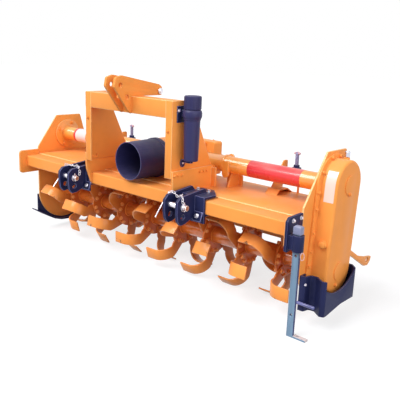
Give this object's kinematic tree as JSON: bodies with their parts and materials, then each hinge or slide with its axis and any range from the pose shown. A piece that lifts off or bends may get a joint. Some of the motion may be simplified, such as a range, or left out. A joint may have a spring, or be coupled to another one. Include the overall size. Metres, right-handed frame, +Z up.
{
  "type": "rotary tiller",
  "caption": "Tractor-mounted rotary tiller with a three-point mast, guarded input shaft, side gear case, bladed rotor, rear board, skids and parking stand.",
  "frame": {"origin": "on the floor under the centre of the overall bounding box", "axes": "+X from the plain side to the gear case side, along the rotor; +Y rearwards, away from the tractor; +Z up"},
  "size_m": [2.244, 0.9952, 1.1076],
  "materials": {
    "orange_paint": "glossy orange paint",
    "navy_paint": "semi-gloss navy paint",
    "navy_plastic": "satin navy plastic",
    "grey_paint": "blue-grey paint",
    "zinc_steel": "bright zinc plate",
    "bare_steel": "machined steel",
    "chromed_cap": "chrome plate"
  },
  "bodies": {
    "frame": {"front_beam": "orange_paint", "left_end_plate": "orange_paint", "right_end_plate": "orange_paint", "deck": "orange_paint", "left_side_plate": "orange_paint", "right_side_plate": "orange_paint", "gear_case": "orange_paint", "filler_cap": "chromed_cap", "mast_uprights": "orange_paint", "mast_feet": "orange_paint", "mast_crossbar": "orange_paint", "top_link_ears": "orange_paint", "top_link_brace_pin": "zinc_steel", "gearbox": "orange_paint", "pto_guard": "navy_plastic", "drive_tube": "orange_paint", "support_tube": "orange_paint", "tube_saddle": "orange_paint", "hitch_bracket_left": "navy_paint", "hitch_bracket_right": "navy_paint", "hitch_pins": "zinc_steel", "stand_bracket": "navy_paint", "right_skid": "navy_paint", "skid_bar": "navy_paint", "left_skid": "navy_paint", "tool_tube": "navy_plastic", "tool_tube_cap": "navy_plastic", "tool_tube_holders": "navy_paint", "rear_board_hinge_pin": "zinc_steel", "rear_board_lugs": "orange_paint", "adjuster_brackets": "orange_paint", "adjuster_screws": "zinc_steel", "rear_arms": "orange_paint"},
    "rotor": {"rotor_tube": "orange_paint", "rotor_blades_1": "orange_paint", "rotor_blades_2": "orange_paint", "rotor_blades_3": "orange_paint", "rotor_blades_4": "orange_paint", "rotor_blades_5": "orange_paint", "rotor_blades_6": "orange_paint", "rotor_blades_7": "orange_paint", "rotor_blades_8": "orange_paint", "rotor_flanges": "orange_paint"},
    "input_shaft": {"pto_shaft": "bare_steel"},
    "rear_board": {"rear_board": "orange_paint"},
    "stand": {"stand_leg": "grey_paint"}
  },
  "joints": [
    {"name": "rotor_spin", "type": "hinge", "parent": "frame", "child": "rotor", "pos_m": [-0.053, -0.03366, 0.24885], "axis": [1, 0, 0], "continuous": true},
    {"name": "input_spin", "type": "hinge", "parent": "frame", "child": "input_shaft", "pos_m": [-0.053, -0.24866, 0.647], "axis": [0, 1, 0], "continuous": true},
    {"name": "rear_board_swing", "type": "hinge", "parent": "frame", "child": "rear_board", "pos_m": [-0.053, 0.17534, 0.517], "axis": [1, 0, 0], "range_deg": [0, 60]},
    {"name": "stand_slide", "type": "slide", "parent": "frame", "child": "stand", "axis": [0, 0, 1], "range_m": [0, 0.33]}
  ],
  "couplings": [
    {"joint": "input_spin", "follows": "rotor_spin", "ratio": 2.4}
  ]
}
